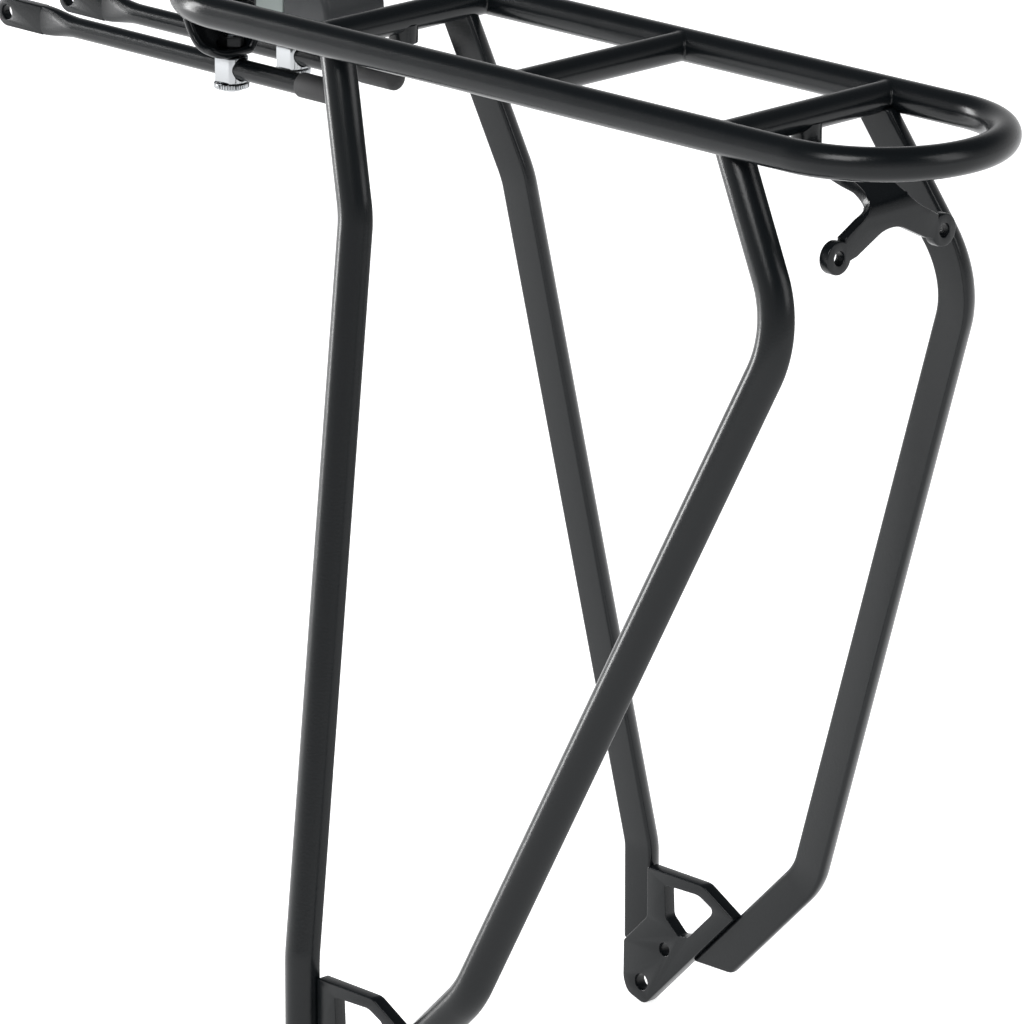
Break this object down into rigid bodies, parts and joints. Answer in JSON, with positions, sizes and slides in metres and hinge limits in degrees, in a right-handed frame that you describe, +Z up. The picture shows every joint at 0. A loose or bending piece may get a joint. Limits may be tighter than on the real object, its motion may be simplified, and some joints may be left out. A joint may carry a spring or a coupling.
{
  "type": "bicycle rear pannier rack",
  "caption": "Rear bicycle rack: long rounded tube platform on bent D-section legs, two foot plates, lamp bracket and adjustable front stays held in swivelling eyes.",
  "frame": {"origin": "centre plane, on the line through the two lower foot holes", "axes": "+X to the front of the bicycle, +Y to its left, +Z up"},
  "size_m": [0.4586, 0.178, 0.3784],
  "materials": {
    "black_coat": "satin black powder coat",
    "black_screw": "black oxide",
    "moulding": "fine matt",
    "pale_moulding": "smooth",
    "rubber": "matt",
    "chrome": "polished"
  },
  "bodies": {
    "rack": {"platform_loop": "black_coat", "crossbar_front": "black_coat", "crossbar_middle": "black_coat", "crossbar_rear": "black_coat", "leg_front_left": "black_coat", "leg_front_right": "black_coat", "leg_rear_left": "black_coat", "leg_rear_right": "black_coat", "foot_plate_left": "black_coat", "foot_plate_right": "black_coat", "boss_front": "black_coat", "boss_rear": "black_coat", "lamp_bracket": "black_coat", "front_plate": "black_coat", "lamp_bracket_washer": "black_screw", "lamp_bracket_bolt": "black_screw", "centre_block_screw_rear": "black_screw", "centre_block_screw_front": "black_screw", "eye_nut_left": "black_screw", "eye_nut_right": "black_screw", "centre_block": "moulding", "centre_block_inlay": "pale_moulding"},
    "eye_left": {"stay_eye_left": "chrome", "eye_screw_left": "chrome"},
    "stay_left": {"stay_left": "black_coat", "stay_cap_left": "rubber"},
    "eye_right": {"stay_eye_right": "chrome", "eye_screw_right": "chrome"},
    "stay_right": {"stay_right": "black_coat", "stay_cap_right": "rubber"}
  },
  "joints": [
    {"name": "eye_swivel_left", "type": "hinge", "parent": "rack", "child": "eye_left", "pos_m": [0.11, 0.0146, 0.3332], "axis": [0, 0, 1], "range_deg": [-4, 7]},
    {"name": "stay_slide_left", "type": "slide", "parent": "eye_left", "child": "stay_left", "axis": [1, 0, 0], "range_m": [-0.02, 0.026]},
    {"name": "eye_swivel_right", "type": "hinge", "parent": "rack", "child": "eye_right", "pos_m": [0.11, -0.0146, 0.3332], "axis": [0, 0, -1], "range_deg": [-4, 7]},
    {"name": "stay_slide_right", "type": "slide", "parent": "eye_right", "child": "stay_right", "axis": [1, 0, 0], "range_m": [-0.02, 0.026]}
  ]
}
